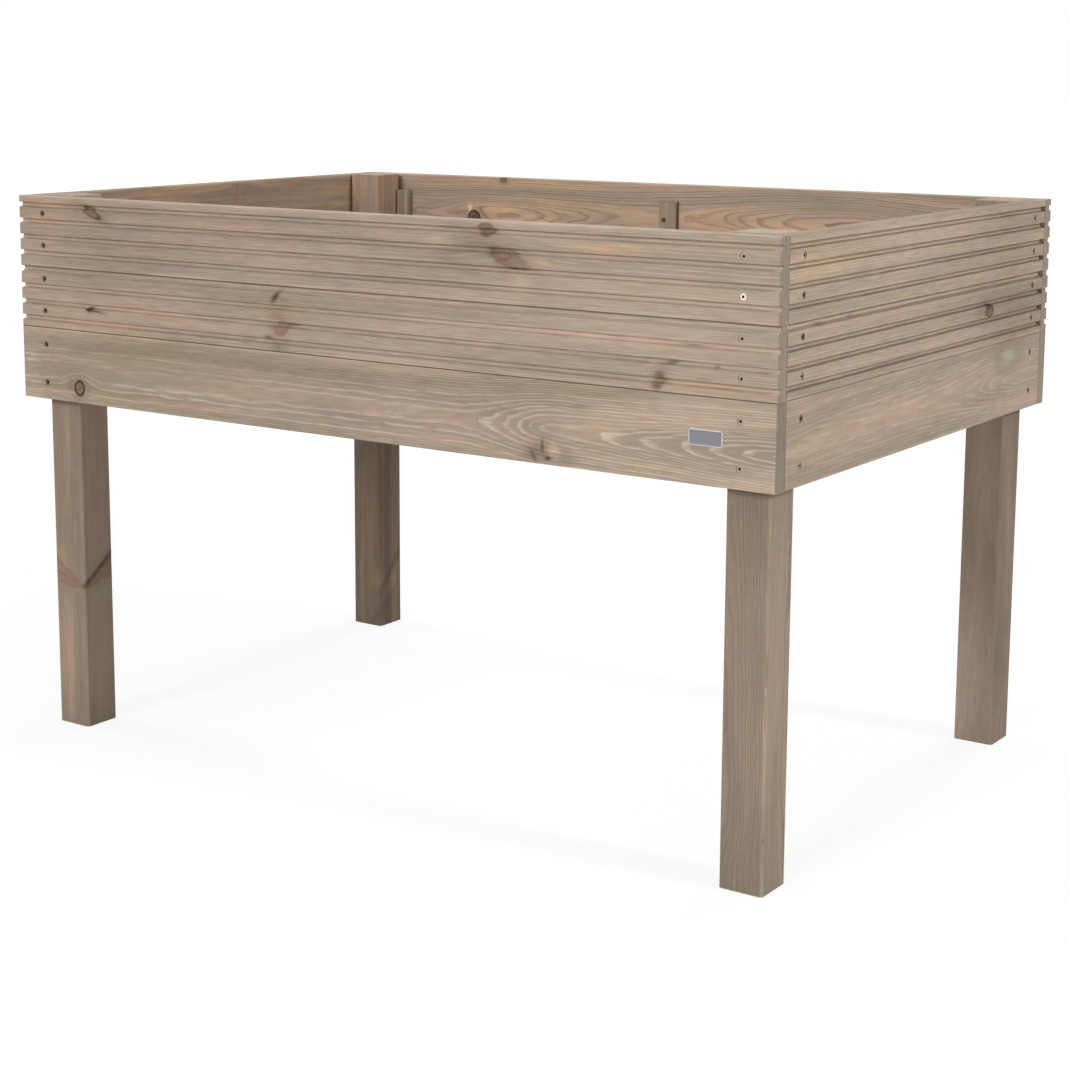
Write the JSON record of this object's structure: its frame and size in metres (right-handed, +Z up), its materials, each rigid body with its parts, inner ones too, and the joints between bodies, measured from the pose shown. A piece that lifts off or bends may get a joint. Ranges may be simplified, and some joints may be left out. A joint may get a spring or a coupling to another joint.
{
  "type": "raised garden bed",
  "caption": "Rectangular timber planting box with grooved upper boards, raised on square legs, with a slatted floor that holds soil and lets water drain.",
  "frame": {"origin": "on the ground, under the middle of the bed", "axes": "+X along the length to the right as seen from the front, +Y from front to back, +Z up"},
  "size_m": [1.2, 0.801, 0.77],
  "materials": {
    "leg_wood": "planed softwood, grey-brown stain, matt",
    "grooved_board_wood": "planed and grooved softwood, grey-brown stain, matt",
    "plain_board_wood": "planed softwood, grey-brown stain, matt",
    "batten_wood": "sawn softwood, grey-brown stain, matt",
    "floor_wood": "sawn softwood, grey-brown stain, matt",
    "screw_steel": "zinc plated",
    "plate_metal": "satin"
  },
  "bodies": {
    "root": {"back_ledger": "floor_wood", "back_left_batten": "batten_wood", "back_left_cleat": "batten_wood", "back_left_leg": "leg_wood", "back_lower_board": "plain_board_wood", "back_middle_board": "grooved_board_wood", "back_middle_cleat": "batten_wood", "back_right_batten": "batten_wood", "back_right_cleat": "batten_wood", "back_right_leg": "leg_wood", "back_top_board": "grooved_board_wood", "back_wall_screws": "screw_steel", "batten_screws": "screw_steel", "blank_plate": "plate_metal", "cleat_screws": "screw_steel", "floor_slat_01": "floor_wood", "floor_slat_02": "floor_wood", "floor_slat_03": "floor_wood", "floor_slat_04": "floor_wood", "floor_slat_05": "floor_wood", "floor_slat_06": "floor_wood", "floor_slat_07": "floor_wood", "floor_slat_08": "floor_wood", "floor_slat_09": "floor_wood", "floor_slat_10": "floor_wood", "floor_slat_11": "floor_wood", "front_ledger": "floor_wood", "front_left_batten": "batten_wood", "front_left_cleat": "batten_wood", "front_left_leg": "leg_wood", "front_lower_board": "plain_board_wood", "front_middle_board": "grooved_board_wood", "front_middle_cleat": "batten_wood", "front_right_batten": "batten_wood", "front_right_cleat": "batten_wood", "front_right_leg": "leg_wood", "front_top_board": "grooved_board_wood", "front_wall_screws": "screw_steel", "ledger_screws": "screw_steel", "left_ledger": "floor_wood", "left_lower_board": "plain_board_wood", "left_middle_board": "grooved_board_wood", "left_top_board": "grooved_board_wood", "left_wall_screws": "screw_steel", "right_ledger": "floor_wood", "right_lower_board": "plain_board_wood", "right_middle_board": "grooved_board_wood", "right_top_board": "grooved_board_wood", "right_wall_screws": "screw_steel", "slat_screws": "screw_steel"}
  },
  "joints": []
}
